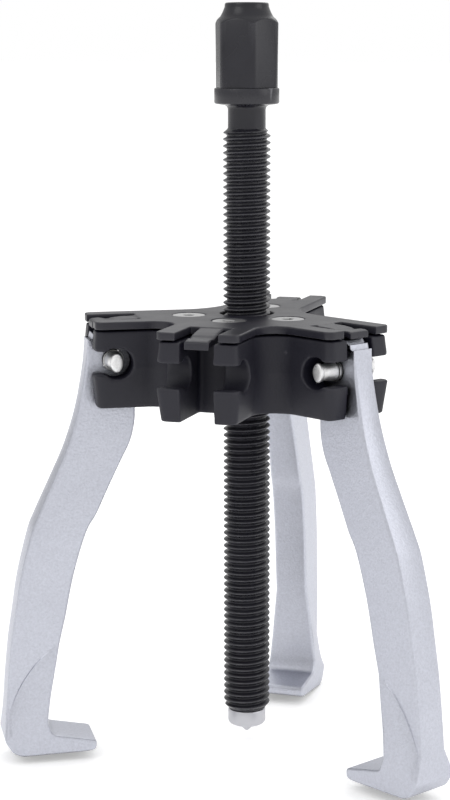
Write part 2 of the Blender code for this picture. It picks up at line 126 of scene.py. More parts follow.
# Its hexagon and the turned cone over it
HEX_CORNER_REACH = COLLAR_RADIUS + 0.0001
HEX_FOOT_LIMIT = COLLAR_RADIUS - 0.0003
HEX_CONE_SLOPE = 1.05
CONE_INSET = 0.0002
CONE_RISE = 0.0001
CONE_END = 0.0012
CONE_SHARES = (0.0, 0.2, 0.4, 0.6, 0.8, 1.0)
CONE_CURVE = (0.8, 1.25)  # powers that round the cone, inward and upward

# Its end bore
END_BORE_RADIUS = 0.0030
END_BORE_TOP = 0.0174
END_BORE_CHAMFER = 0.0003
SNAP_GROOVE = (0.0088, 0.0099)  # heights of the snap ring's grooves, in the bore and the spigot
SNAP_GROOVE_RADIUS = 0.0037

# Pressure tip, as (radius, height)
TIP_POINT = ((0.0, 0.0), (0.00035, 0.00004), (0.00065, 0.00022), (0.0016, 0.00120), (0.0019, 0.00145))
TIP_DISC = ((0.0048, 0.00255), (0.0053, 0.00285), (0.0056, 0.00325), (0.0057, 0.0037),
            (0.0057, 0.0069), (0.0055, 0.0073), (0.0052, 0.0074), (0.0027, 0.0074))
SPIGOT_RADIUS = 0.0027
SPIGOT_GROOVE_RADIUS = 0.0021
SPIGOT_END = ((0.0027, 0.0117), (0.0024, 0.0120), (0.0, 0.0120))

# Body block
PARTING_HEIGHT = 0.1160
PRONG_HALF_WIDTH = 0.0125
PRONG_REACH = 0.0478
TOP_DRAFT = 0.0010
BOTTOM_DRAFT = 0.0013
NARROW_FILLET = 0.0060
WIDE_FILLET = 0.0180
BORE_RADIUS = 0.0073
SLOT_HALF_WIDTH = 0.0049
SLOT_BACK = 0.0295
CHANNEL_RADIUS = 0.0046
MOUTH_HALF_HEIGHT = 0.0035
PRONG_CORNER = 0.0022
GAP_STEPS = 16
CHANNEL_STEPS = 32
RIDGE = 0.00012  # the parting line stands out by this
RIDGE_FOOT = 0.00005
RIDGE_HALF_HEIGHT = 0.0005
BODY_VOXEL = 0.00042
CUT_MARGIN = 0.002  # cutters reach this far past the solid they cut
BOX_OVERRUN = 0.004

# Plate
PLATE_THICKNESS = 0.0023
PLATE_HALF_WIDTH = 0.0122
PLATE_REACH = 0.0470
PLATE_CORNER = 0.0022
PLATE_BORE = 0.0080
WINDOW_BACK = 0.0330
TONGUE_HALF_WIDTH = 0.0036
TONGUE_SLOT = 0.0027
TONGUE_THICKNESS = 0.0019
TONGUE_DROP = 0.0017
TONGUE_GROOVE_END = 0.0430  # up to here the underside stays level, clear of the arm head
TONGUE_STEP = 0.0003  # a tongue's top starts this far below the plate's
TONGUE_PRESS = 0.0005  # and a fall of 1 in its profile takes it this far down
# Along a tongue, (reach, fall)
TONGUE_PROFILE = ((WINDOW_BACK - 0.0012, 0.0), (WINDOW_BACK + 0.0004, 0.0),
                  (WINDOW_BACK + 0.0045, 0.12), (0.0400, 0.55), (0.0411, 1.15), (0.0418, 1.35),
                  (0.0425, 0.95), (0.0440, 0.45), (0.0455, 0.60), (0.0464, 0.95),
                  (PLATE_REACH - 0.0002, 1.55))
PLATE_VOXEL = 0.00030

# Screws
SCREW_REACH = 0.0175
SCREW_HEAD_RADIUS = 0.00485
SCREW_HEAD_TOP = 0.1292
SCREW_SHANK_RADIUS = 0.0023
SCREW_CONE_HEIGHT = 0.0026
SCREW_BOTTOM = 0.1170
SCREW_SOCKET = 0.0030
SOCKET_DEPTH = 0.0019
SOCKET_TAPER = 0.9
SOCKET_EDGE = 0.0002
SOCKET_LAND = 0.0003
SCREW_CLEARANCE = 0.0003
SCREW_HOLE_SPARE = 0.001
SCREW_CHAMFER = 0.0004
SCREW_HEAD_GAP = 0.00015
SCREW_HEAD_RIM = 0.0002
SCREW_EDGE = ((0.0001, 0.00045), (0.0, 0.0003), (0.0, 0.00012), (0.00012, 0.0))

# Arms
HEAD_HALF_WIDTH = 0.0036
SHANK_HALF_WIDTH = 0.0052
FOOT_HALF_WIDTH = 0.0078
TAPER_LEVELS = (0.0660, 0.1165)
HEAD_RADIUS = 0.0097
TOOTH_DEPTH = 0.0010
TOOTH_ANGLES = (30.0, 108.0)
TOOTH_COUNT = 6
TOOTH_TIP = (0.70, 0.82)  # a tooth's flat tip, as shares of its pitch
HEAD_STEPS = 10
HEAD_INNER_REACH = 0.0343
OUTER_EDGE = ((0.0489, 0.1165), (0.0500, 0.1105), (0.0517, 0.1025), (0.0534, 0.0965),
              (0.0557, 0.0900), (0.0590, 0.0826), (0.0642, 0.0712), (0.0662, 0.0660),
              (0.0693, 0.0535), (0.0710, 0.0430), (0.0725, 0.0330), (0.0735, 0.0230))
INNER_EDGE = ((0.0556, 0.0412), (0.0531, 0.0535), (0.0493, 0.0660), (0.0461, 0.0716),
              (0.0424, 0.0795), (0.0386, 0.0873), (0.0358, 0.0930), (0.0344, 0.0990),
              (0.0343, 0.1050), (0.0343, 0.1165))
CREASE = ((0.0741, 0.0120), (0.0722, 0.0165), (0.0700, 0.0205), (0.0672, 0.0243),
          (0.0640, 0.0278), (0.0608, 0.0303), (0.0576, 0.0325))
FLARE_CORNER = ((0.0590, 0.0250), (0.0605, 0.0175), (0.0613, 0.0120))
FLARE_ENDS = ((0.0746, 0.0056), (0.0616, 0.0092))
FOOT = ((0.0603, 0.0056), (0.0470, 0.0031), (0.0472, 0.0001), (0.0495, -0.0004),
        (0.0695, -0.0008), (0.0722, 0.0004), (0.0745, 0.0040))
EDGE_ROUNDING = 0.0009
EDGE_STEPS = 4
EDGE_CROWN = 0.0003
WALL_INSET = 0.0001
HEAD_ROUNDING = 0.0007
TOOTH_ROUNDING = 0.0003
TOE_ROUNDING = 0.0007
TOE_CURVE = 0.0012
SPLINE_STEPS = 4  # in each span between two points
CORNER_STEPS = 4
CORNER_SHARE = 0.45  # a curve takes at most this share of a side
STEP_RUN = 0.00035
STEP_RISE = 0.00036
STEP_CURVE = 0.7
CROWN_LEVELS = (0.0100, 0.1165)  # the crown fades out toward these heights
CROWN_FADE = 0.0100
WALL_SHARE = 0.30  # the outer wall's middle strip, as a share of its width

# Pins and their rings: PIN_HEAD is (radius, distance from the end), other lengths from the middle
PIN_RADIUS = 0.0028
PIN_WAIST_RADIUS = 0.00238
PIN_WAIST_STEPS = 8
PIN_GROOVE_RADIUS = 0.0021
PIN_GROOVE = (0.0040, 0.0049)
PIN_LIP = 0.0001
PIN_CURVE = 1.3  # power of the sine that draws the waist
PIN_HEAD_LENGTH = 0.0016
PIN_HEAD = ((0.00245, 0.0014), (0.00270, 0.0011), (0.0028, 0.0008), (0.00276, 0.0005),
            (0.0026, 0.0002), (0.0023, 0.00005), (0.0012, 0.0), (0.0, 0.0))
PIN_HEAD_FLATNESS = 0.68  # the pressed end's width over its height
OVAL_LEAD = 0.0006  # the pin turns oval from this far before its head
OVAL_RUN = 0.0008  # and does so over this length
PIN_BORE_RADIUS = 0.0032
PIN_BORE_REACH = 0.008
RING_RADII = (0.0024, 0.0031)
RING_HALF_WIDTH = 0.00025
RING_CHAMFER = 0.00008

# Sides of turned shapes
SIDES = 48
FINE_SIDES = 64
SCREW_HOLE_SIDES = 40

# Edges that turn by more than this many degrees stay sharp
TURNED_SMOOTH = 35.0
ARM_SMOOTH = 28.0

# Finishes
PATCH_SCALE = 60.0
PATCH_STOPS = (0.35, 0.65)
NOISE_RANGE = (0.30, 0.70)  # what a noise mostly stays between
# Painted shade in hollows: the colour darkens with ambient occlusion between these openness values, down to
# this level
PAINTED_SHADE_OPENNESS = (0.22, 0.58)
PAINTED_SHADE_LEVEL = 0.10
# Painted shade on reflections: the specular level fades with ambient occlusion between these openness
# values
REFLECTION_SHADE_OPENNESS = (0.50, 0.92)

# Studio: each lamp's name, place to the right, toward the camera and up, size and power
LAMPS = (("key", 0.80, 0.30, 0.45, 0.50, 1.0), ("fill", -0.55, 0.45, 0.75, 0.45, 1.0),
         ("back", 0.10, -0.60, 0.70, 0.60, 1.2))
LAMP_TARGET = (0.0, 0.0, 0.10)
FLOOR_SIZE = 30.0
FLOOR_GLOW = 0.32
ROOM_FLOOR = -0.3  # the height of direction at which ROOM_SHADES start
ROOM_SHADES = ((0.0, 0.90), (0.23, 0.72), (0.5, 0.92), (1.0, 1.0))
DIM_SIDE = (-0.6, 0.8)  # the room is dimmer in this direction, (to the right, away)
DIM_REACH = 0.95
DIM_LEVEL = 0.76

# Camera, from where the photograph was taken
VIEW_AZIMUTH = 17.3
VIEW_DISTANCE = 0.589
VIEW_HEIGHT = 0.2064
VIEW_PITCH = 9.95
VIEW_LENS = 90.0
VIEW_SHIFT = -0.0272


# ---------------------------------------------------------------- materials

def new_material(name):
    """Return an empty node material with its nodes, links and Principled shader."""
    made = bpy.data.materials.new(name)
    made.use_nodes = True
    nodes, links = made.node_tree.nodes, made.node_tree.links
    shader = nodes["Principled BSDF"]
    return made, nodes, links, shader


def noise_at(nodes, links, scale, detail, roughness):
    """Return the socket of a noise on object coordinates, with its scale in cells per metre."""
    coordinates = nodes.new("ShaderNodeTexCoord")
    texture = nodes.new("ShaderNodeTexNoise")
    texture.inputs["Scale"].default_value = scale
    texture.inputs["Detail"].default_value = detail
    texture.inputs["Roughness"].default_value = roughness
    links.new(coordinates.outputs["Object"], texture.inputs["Vector"])
    return texture.outputs["Fac"]


def ramp(nodes, links, source, stops):
    """Return the socket of a colour ramp fed by source, with (position, colour) stops."""
    made = nodes.new("ShaderNodeValToRGB")
    elements = made.color_ramp.elements
    while len(elements) < len(stops):
        elements.new(0.5)
    for element, (position, colour) in zip(elements, stops):
        element.position = position
        element.color = (*colour, 1.0)
    links.new(source, made.inputs["Fac"])
    return made.outputs["Color"]


def mapped(nodes, links, source, start, stop, low=0.0, high=1.0):
    """Return a socket that runs from low to high as source runs from start to stop."""
    made = nodes.new("ShaderNodeMapRange")
    for name, value in (("From Min", start), ("From Max", stop), ("To Min", low), ("To Max", high)):
        made.inputs[name].default_value = value
    links.new(source, made.inputs["Value"])
    return made.outputs["Result"]


def scaled(nodes, links, colour, level):
    """Return a colour socket multiplied by a level socket."""
    made = nodes.new("ShaderNodeVectorMath")
    made.operation = "SCALE"
    links.new(colour, made.inputs[0])
    links.new(level, made.inputs["Scale"])
    return made.outputs["Vector"]


def openness(nodes, links, reach):
    """Return a socket that falls from 1 inside hollows narrower than reach."""
    hollow = nodes.new("ShaderNodeAmbientOcclusion")
    hollow.samples = 6
    hollow.inputs["Distance"].default_value = reach
    return hollow.outputs["AO"]


def grey(value):
    """Return a neutral colour."""
    return (value, value, value)


def metal(name, dark, light, rough, metallic, grain, grain_depth, worn=None, shine=0.5,
          speckle=0.0, hollows=0.0, painted_shade_reach=0.0, edges=(0.52, 0.60)):
    """Return a metal whose colour and roughness vary in patches, with a fine surface grain.

    worn is the colour of worn edges, and edges the range of pointiness in which it sets in.
    Painted shade, from ambient occlusion: reflections fade in hollows narrower than hollows, and the colour
    darkens in hollows narrower than the painted shade's reach.
    """
    made, nodes, links, shader = new_material(name)
    patches = noise_at(nodes, links, PATCH_SCALE, 5.0, 0.55)
    fine = noise_at(nodes, links, grain, 3.0, 0.6)
    colour = ramp(nodes, links, patches, list(zip(PATCH_STOPS, (dark, light))))
    if speckle:
        level = mapped(nodes, links, fine, *NOISE_RANGE, 1.0 - speckle, 1.0 + speckle)
        colour = scaled(nodes, links, colour, level)
    # Painted shade: the colour darkens in narrow hollows, by ambient occlusion
    if painted_shade_reach:
        level = mapped(nodes, links, openness(nodes, links, painted_shade_reach), *PAINTED_SHADE_OPENNESS, PAINTED_SHADE_LEVEL)
        colour = scaled(nodes, links, colour, level)
    if worn:
        geometry = nodes.new("ShaderNodeNewGeometry")
        gate = nodes.new("ShaderNodeMath")
        gate.operation = "MULTIPLY"
        links.new(mapped(nodes, links, geometry.outputs["Pointiness"], *edges), gate.inputs[0])
        links.new(fine, gate.inputs[1])
        mixed = nodes.new("ShaderNodeMix")
        mixed.data_type = "RGBA"
        links.new(gate.outputs["Value"], mixed.inputs["Factor"])
        links.new(colour, mixed.inputs["A"])
        mixed.inputs["B"].default_value = (*worn, 1.0)
        colour = mixed.outputs["Result"]
    links.new(colour, shader.inputs["Base Color"])
    links.new(mapped(nodes, links, patches, *NOISE_RANGE, *rough), shader.inputs["Roughness"])
    shader.inputs["Metallic"].default_value = metallic
    shader.inputs["Specular IOR Level"].default_value = shine
    # Painted shade: reflections fade in narrow hollows, by ambient occlusion
    if hollows:
        level = mapped(nodes, links, openness(nodes, links, hollows), *REFLECTION_SHADE_OPENNESS, 0.0, shine)
        links.new(level, shader.inputs["Specular IOR Level"])
    bump = nodes.new("ShaderNodeBump")
    bump.inputs["Strength"].default_value = 1.0
    bump.inputs["Distance"].default_value = grain_depth
    links.new(fine, bump.inputs["Height"])
    links.new(bump.outputs["Normal"], shader.inputs["Normal"])
    return made


def make_materials():
    """Make the finish of every kind of piece."""
    return {
        "black_forging": metal("black_forging", (0.009, 0.0088, 0.015), (0.013, 0.0126, 0.020),
                               (0.44, 0.60), 0.0, 2600.0, 0.00006, worn=(0.055, 0.054, 0.066),
                               shine=0.38, hollows=0.005),
        "black_plate": metal("black_plate", (0.010, 0.0097, 0.016), (0.016, 0.0155, 0.023), (0.34, 0.46),
                             0.0, 3200.0, 0.00003, worn=(0.07, 0.069, 0.08), shine=0.44),
        "black_oxide": metal("black_oxide", (0.012, 0.0117, 0.016), (0.016, 0.0157, 0.021), (0.23, 0.31),
                             0.0, 3000.0, 0.00003, worn=(0.24, 0.238, 0.255), shine=0.36,
                             edges=(0.54, 0.62)),
        "zinc_arm": metal("zinc_arm", (0.50, 0.512, 0.572), (0.53, 0.543, 0.605), (0.34, 0.44), 1.0,
                          1500.0, 0.00012, speckle=0.08, painted_shade_reach=0.006),
        "pin_zinc": metal("pin_zinc", grey(0.78), grey(0.88), (0.44, 0.56), 1.0, 2600.0, 0.00010,
                          speckle=0.10, painted_shade_reach=0.002),
        "tip_zinc": metal("tip_zinc", (0.50, 0.50, 0.53), (0.56, 0.56, 0.59), (0.36, 0.46), 1.0,
                          2600.0, 0.00004),
        "bright_zinc": metal("bright_zinc", grey(0.72), grey(0.80), (0.24, 0.36), 1.0, 3000.0, 0.00002),
        "screw_zinc": metal("screw_zinc", grey(0.36), grey(0.44), (0.40, 0.50), 1.0, 3000.0, 0.00003),
        "spring_steel": metal("spring_steel", grey(0.50), grey(0.62), (0.30, 0.40), 1.0,
                              3000.0, 0.00002, painted_shade_reach=0.004),
        "ball_steel": metal("ball_steel", grey(0.75), grey(0.80), (0.06, 0.10), 1.0, 2000.0, 0.00001),
    }


# ---------------------------------------------------------------- mesh helpers

def add_object(name, data):
    """Put an object with this data in the scene."""
    made = bpy.data.objects.new(name, data)
    bpy.context.collection.objects.link(made)
    return made


def add_mesh(name, bm):
    """Turn a bmesh into an object in the scene, with its faces outward."""
    bmesh.ops.recalc_face_normals(bm, faces=bm.faces)
    mesh = bpy.data.meshes.new(name)
    bm.to_mesh(mesh)
    bm.free()
    return add_object(name, mesh)


def shade(mesh, sharp):
    """Shade a mesh smooth, but for edges that turn by more than sharp degrees, if it is given."""
    mesh.shade_smooth()
    if sharp:
        mesh.set_sharp_from_angle(angle=math.radians(sharp))


def finish_object(name, bm, finish, body, smooth=40.0):
    """Turn a bmesh into a shown piece that rides on a body and has a finish."""
    made = add_mesh(name, bm)
    shade(made.data, smooth)
    made.data.materials.append(MATERIALS[finish])
    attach(made, body)
    return made


def bridge(bm, first, second):
    """Join two loops of the same length with a wall of quads."""
    count = len(first)
    for step in range(count):
        after = (step + 1) % count
        bm.faces.new((first[step], first[after], second[after], second[step]))


def at_station(points, angle):
    """Turn (r, t) points to the direction of a station."""
    turn = math.radians(angle)
    cosine, sine = math.cos(turn), math.sin(turn)
    return [(r * cosine - t * sine, r * sine + t * cosine) for r, t in points]


def arc(centre, radius, start, end, steps):
    """Return points along an arc, angles in degrees."""
    points = []
    for step in range(steps + 1):
        angle = math.radians(start + (end - start) * step / steps)
        points.append((centre[0] + radius * math.cos(angle), centre[1] + radius * math.sin(angle)))
    return points


def spline(points):
    """Return a smooth curve through points, by Catmull-Rom."""
    ends = [points[0]] + list(points) + [points[-1]]
    curve = []
    for index in range(len(points) - 1):
        before, first, second, after = (Vector(point) for point in ends[index:index + 4])
        for step in range(SPLINE_STEPS):
            u = step / SPLINE_STEPS
            curve.append(0.5 * (2 * first + (second - before) * u
                                + (2 * before - 5 * first + 4 * second - after) * u * u
                                + (3 * first - before - 3 * second + after) * u * u * u))
    curve.append(Vector(points[-1]))
    return [tuple(point) for point in curve]


def turned(profile, sides, phase=0.0, bm=None, centre=(0.0, 0.0)):
    """Add a shape turned about an upright axis to a bmesh, from (radius, height) points.

    A zero radius closes an end in a point, and any other radius closes it with a flat face.
    """
    bm = bm or bmesh.new()
    rings = []
    for radius, height in profile:
        places = [centre] if radius < 1e-7 else arc(centre, radius, phase, phase + 360.0, sides)[:-1]
        rings.append([bm.verts.new((x, y, height)) for x, y in places])
    for lower, upper in zip(rings, rings[1:]):
        if len(lower) == len(upper):
            bridge(bm, lower, upper)
            continue
        for step in range(sides):
            after = (step + 1) % sides
            if len(lower) == 1:
                bm.faces.new((lower[0], upper[after], upper[step]))
            else:
                bm.faces.new((lower[step], lower[after], upper[0]))
    for ring in (rings[0], rings[-1]):
        if len(ring) > 1:
            bm.faces.new(ring)
    return bm


def prism(outline, low, high, bm=None):
    """Add a prism between two heights to a bmesh, from an (x, y) outline."""
    bm = bm or bmesh.new()
    bottom = [bm.verts.new((x, y, low)) for x, y in outline]
    top = [bm.verts.new((x, y, high)) for x, y in outline]
    bm.faces.new(reversed(bottom))
    bm.faces.new(top)
    bridge(bm, bottom, top)
    return bm


def cut(target, tool):
    """Cut target's mesh with a tool, and delete the tool."""
    modifier = target.modifiers.new("cut", "BOOLEAN")
    modifier.operation = "DIFFERENCE"
    modifier.object = tool
    modifier.solver = "EXACT"
    settle(target)
    bpy.data.objects.remove(tool, do_unlink=True)


def settle(target):
    """Apply all of an object's modifiers to its mesh."""
    bpy.context.view_layer.update()
    graph = bpy.context.evaluated_depsgraph_get()
    shaped = bpy.data.meshes.new_from_object(target.evaluated_get(graph))
    target.modifiers.clear()
    old = target.data
    target.data = shaped
    bpy.data.meshes.remove(old)


def soften(target, voxel, rounds):
    """Remesh an object evenly and relax it, which rounds its edges like a forging's."""
    remesh = target.modifiers.new("remesh", "REMESH")
    remesh.mode = "VOXEL"
    remesh.voxel_size = voxel
    relax = target.modifiers.new("relax", "SMOOTH")
    relax.factor = 0.5
    relax.iterations = rounds
    settle(target)
    target.data.shade_smooth()


# ---------------------------------------------------------------- body and plate

def star_outline(half_width, reach, corner, inset=0.0, corner_steps=4):
    """Return the four-pronged outline, counter-clockwise, moved inward by inset."""
    half, tip = half_width - inset, reach - inset
    angles = sorted(STATIONS.values())
    outline = []
    for index, angle in enumerate(angles):
        for centre_t, start in ((-half + corner, -90.0), (half - corner, 0.0)):
            rounded = arc((tip - corner, centre_t), corner, start, start + 90.0, corner_steps)
            outline += at_station(rounded, angle)
        opening = (angles[(index + 1) % len(angles)] - angle) % 360.0
        fillet = NARROW_FILLET if opening < 90.0 else WIDE_FILLET
        middle = (half_width + fillet) / math.sin(math.radians(opening / 2.0))
        sweep = 90.0 - opening / 2.0
        hollow = arc((middle, 0.0), fillet + inset, 180.0 + sweep, 180.0 - sweep, GAP_STEPS)
        outline += at_station(hollow, angle + opening / 2.0)
    return outline


def station_boxes(name, r_low, r_high, half_width, low, high):
    """Return a cutter with a box at each station."""
    bm = bmesh.new()
    corners = ((r_low, -half_width), (r_high, -half_width), (r_high, half_width), (r_low, half_width))
    for angle in STATIONS.values():
        prism(at_station(corners, angle), low, high, bm)
    return add_mesh(name, bm)


def channel_tool():
    """Return the cutter of the trunnion channels: a round hole with a mouth outward."""
    bm = bmesh.new()
    mouth_angle = math.degrees(math.asin(MOUTH_HALF_HEIGHT / CHANNEL_RADIUS))
    centre = (TRUNNION_REACH, TRUNNION_HEIGHT)
    profile = arc(centre, CHANNEL_RADIUS, mouth_angle, 360.0 - mouth_angle, CHANNEL_STEPS)
    outside = PRONG_REACH + BOX_OVERRUN
    profile += [(outside, TRUNNION_HEIGHT - MOUTH_HALF_HEIGHT),
                (outside, TRUNNION_HEIGHT + MOUTH_HALF_HEIGHT)]
    side = PRONG_HALF_WIDTH + CUT_MARGIN
    for angle in STATIONS.values():
        turn = Matrix.Rotation(math.radians(angle), 3, "Z")
        near = [bm.verts.new(turn @ Vector((r, -side, z))) for r, z in profile]
        far = [bm.verts.new(turn @ Vector((r, side, z))) for r, z in profile]
        bm.faces.new(near)
        bm.faces.new(reversed(far))
        bridge(bm, near, far)
    return add_mesh("channel_tool", bm)


def screw_tool(profile):
    """Return a cutter with a turned shape at each screw's place."""
    bm = bmesh.new()
    for angle in STATIONS.values():
        turned(profile, SCREW_HOLE_SIDES, bm=bm, centre=at_station([(SCREW_REACH, 0.0)], angle)[0])
    return add_mesh("screw_tool", bm)


def body_skin():
    """Make the forged body, with drafted sides, a faint parting line and softened edges."""
    bm = bmesh.new()
    loops = []
    for height, inset in ((BODY_BOTTOM, BOTTOM_DRAFT), (PARTING_HEIGHT - RIDGE_HALF_HEIGHT, RIDGE_FOOT),
                          (PARTING_HEIGHT, -RIDGE), (PARTING_HEIGHT + RIDGE_HALF_HEIGHT, RIDGE_FOOT),
                          (BODY_TOP, TOP_DRAFT)):
        outline = star_outline(PRONG_HALF_WIDTH, PRONG_REACH - RIDGE, PRONG_CORNER, inset)
        loops.append([bm.verts.new((x, y, height)) for x, y in outline])
    bm.faces.new(reversed(loops[0]))
    bm.faces.new(loops[-1])
    for first, second in zip(loops, loops[1:]):
        bridge(bm, first, second)
    body = finish_object("body_block_skin", bm, "black_forging", "body", smooth=0)
    low, high = BODY_BOTTOM - CUT_MARGIN, BODY_TOP + CUT_MARGIN
    cut(body, add_mesh("bore_tool", turned([(BORE_RADIUS, low), (BORE_RADIUS, high)], FINE_SIDES)))
    cut(body, station_boxes("slot_tool", SLOT_BACK, PRONG_REACH + BOX_OVERRUN, SLOT_HALF_WIDTH, low, high))
    cut(body, channel_tool())
    hole = SCREW_SHANK_RADIUS + SCREW_CLEARANCE
    cut(body, screw_tool([(hole, SCREW_BOTTOM - SCREW_HOLE_SPARE), (hole, high)]))
    soften(body, BODY_VOXEL, 7)
    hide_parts("body_block")


def tongue_rings(station):
    """Return (reach, bottom, top) along one tongue: a pressed groove, then a rounded nose."""
    drop = TONGUE_DROP if station == "front" else 0.0
    rings = []
    for reach, fall in TONGUE_PROFILE:
        along = max(0.0, (reach - WINDOW_BACK) / (PLATE_REACH - WINDOW_BACK))
        sunk = TONGUE_PRESS * fall
        over_arm = station != "front" and reach < TONGUE_GROOVE_END
        thickness = TONGUE_THICKNESS - (sunk if over_arm else 0.0)
        top = PLATE_TOP - TONGUE_STEP - drop * along - sunk
        rings.append((reach, top - thickness, top))
    return rings


def plate_skin():
    """Make the stamped plate with its windows, countersinks and tongues."""
    outline = star_outline(PLATE_HALF_WIDTH, PLATE_REACH, PLATE_CORNER, corner_steps=6)
    plate = finish_object("top_plate_skin", prism(outline, PLATE_TOP - PLATE_THICKNESS, PLATE_TOP),
                          "black_plate", "body", smooth=0)
    low, high = PLATE_TOP - PLATE_THICKNESS - CUT_MARGIN, PLATE_TOP + CUT_MARGIN
    cut(plate, add_mesh("plate_bore_tool", turned([(PLATE_BORE, low), (PLATE_BORE, high)], FINE_SIDES)))
    cut(plate, station_boxes("window_tool", WINDOW_BACK, PLATE_REACH + BOX_OVERRUN,
                             TONGUE_HALF_WIDTH + TONGUE_SLOT, low, high))
    cone = SCREW_HEAD_RADIUS + SCREW_HEAD_GAP
    shank = SCREW_SHANK_RADIUS + SCREW_CLEARANCE
    cut(plate, screw_tool([(shank, low), (shank, SCREW_HEAD_TOP - SCREW_CONE_HEIGHT),
                           (cone, SCREW_HEAD_TOP - SCREW_HEAD_RIM), (cone, high)]))
    joined = bmesh.new()
    joined.from_mesh(plate.data)
    for station, angle in STATIONS.items():
        turn = Matrix.Rotation(math.radians(angle), 3, "Z")
        rings = []
        for reach, bottom, top in tongue_rings(station):
            ring = [(reach, -TONGUE_HALF_WIDTH, bottom), (reach, TONGUE_HALF_WIDTH, bottom),
                    (reach, TONGUE_HALF_WIDTH, top), (reach, -TONGUE_HALF_WIDTH, top)]
            rings.append([joined.verts.new(turn @ Vector(point)) for point in ring])
        joined.faces.new(reversed(rings[0]))
        joined.faces.new(rings[-1])
        for first, second in zip(rings, rings[1:]):
            bridge(joined, first, second)
    bmesh.ops.recalc_face_normals(joined, faces=joined.faces)
    joined.to_mesh(plate.data)
    joined.free()
    soften(plate, PLATE_VOXEL, 5)
    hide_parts("top_plate")


def plate_screws():
    """Make the four countersunk socket screws."""
    for station, angle in STATIONS.items():
        centre = at_station([(SCREW_REACH, 0.0)], angle)[0]
        cone_bottom = SCREW_HEAD_TOP - SCREW_CONE_HEIGHT
        rim = SCREW_SOCKET / math.sqrt(3.0)
        profile = [(0.0, SCREW_BOTTOM), (SCREW_SHANK_RADIUS - SCREW_CHAMFER, SCREW_BOTTOM),
                   (SCREW_SHANK_RADIUS, SCREW_BOTTOM + SCREW_CHAMFER), (SCREW_SHANK_RADIUS, cone_bottom)]
        profile += [(SCREW_HEAD_RADIUS - inset, SCREW_HEAD_TOP - down) for inset, down in SCREW_EDGE]
        bm = turned(profile + [(rim + SOCKET_LAND, SCREW_HEAD_TOP)], SIDES, centre=centre)
        screw = finish_object("plate_screw_skin_" + station, bm, "screw_zinc", "body", smooth=TURNED_SMOOTH)
        socket = turned([(rim * SOCKET_TAPER, SCREW_HEAD_TOP - SOCKET_DEPTH),
                         (rim, SCREW_HEAD_TOP - SOCKET_EDGE),
                         (rim + 2.0 * SOCKET_EDGE, SCREW_HEAD_TOP + SOCKET_EDGE)],
                        6, phase=angle, centre=centre)
        cut(screw, add_mesh("socket_tool", socket))
        shade(screw.data, TURNED_SMOOTH)
        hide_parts("plate_screw_" + station)


# ---------------------------------------------------------------- spindle

def thread_radius(phase):
    """Return the radius of the thread's profile at a phase from 0 to 1 along one pitch."""
    depth = THREAD_RADIUS - ROOT_RADIUS
    distance = abs(phase - 0.5) * 2.0
    if distance < ROOT_SHARE:
        return ROOT_RADIUS
    if distance > 1.0 - CREST_SHARE:
        return THREAD_RADIUS
    return ROOT_RADIUS + depth * (distance - ROOT_SHARE) / (1.0 - CREST_SHARE - ROOT_SHARE)


def envelope(z):
    """Return the largest radius at a height: end chamfer below, run-out and neck above."""
    chamfer = THREAD_RADIUS - END_CHAMFER + (z - THREAD_BOTTOM)
    runout = NECK_RADIUS + max(0.0, THREAD_TOP - z) * RUNOUT_SLOPE
    return min(THREAD_RADIUS, chamfer, max(NECK_RADIUS, runout))


def hexagon_reach(angle):
    """Return the hexagon's radius in a direction, with its corners turned off."""
    offset = math.degrees(angle) - HEX_CORNER_ANGLE - 30.0
    offset = (offset + 30.0) % 60.0 - 30.0
    return min(HEX_FLAT_REACH / math.cos(math.radians(offset)), HEX_CORNER_REACH)


def spindle_skin():
    """Make the spindle in one skin: helical thread, neck, collar, hexagon and turned top."""
    bm = bmesh.new()
    start, stop = THREAD_BOTTOM - PITCH, THREAD_TOP + 1.5 * PITCH
    rows = int(round((stop - start) / PITCH)) * PROFILE_STEPS
    grid = []
    for row in range(rows + 1):
        ring = []
        for column in range(THREAD_COLUMNS):
            turn = column / THREAD_COLUMNS
            z = start + PITCH * (row / PROFILE_STEPS + turn)
            radius = min(thread_radius(row % PROFILE_STEPS / PROFILE_STEPS), envelope(z))
            angle = 2.0 * math.pi * turn + math.radians(HEX_CORNER_ANGLE)
            ring.append(bm.verts.new((radius * math.cos(angle), radius * math.sin(angle), z)))
        grid.append(ring)
    for row in range(rows):
        for column in range(THREAD_COLUMNS - 1):
            bm.faces.new((grid[row][column], grid[row][column + 1],
                          grid[row + 1][column + 1], grid[row + 1][column]))
        if row + PROFILE_STEPS < rows:
            low, high = row + PROFILE_STEPS, row + PROFILE_STEPS + 1
            bm.faces.new((grid[row][-1], grid[low][0], grid[high][0], grid[row + 1][-1]))
    for height, outward in ((THREAD_BOTTOM, -1), (THREAD_TOP + NECK_START, 1)):
        whole = bm.verts[:] + bm.edges[:] + bm.faces[:]
        bmesh.ops.bisect_plane(bm, geom=whole, plane_co=(0, 0, height), plane_no=(0, 0, outward),
                               clear_outer=True)
    bmesh.ops.remove_doubles(bm, verts=bm.verts, dist=1e-6)
    extend_head(bm)
    extend_bore(bm)
    spindle = finish_object("spindle_skin", bm, "black_oxide", "spindle", smooth=38.0)
    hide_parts("spindle")


def open_loop(bm, high):
    """Return the open edges at the top or at the bottom of the thread."""
    middle = (THREAD_BOTTOM + THREAD_TOP) / 2.0
    return [edge for edge in bm.edges if edge.is_boundary
            and (edge.verts[0].co.z > middle) == high]


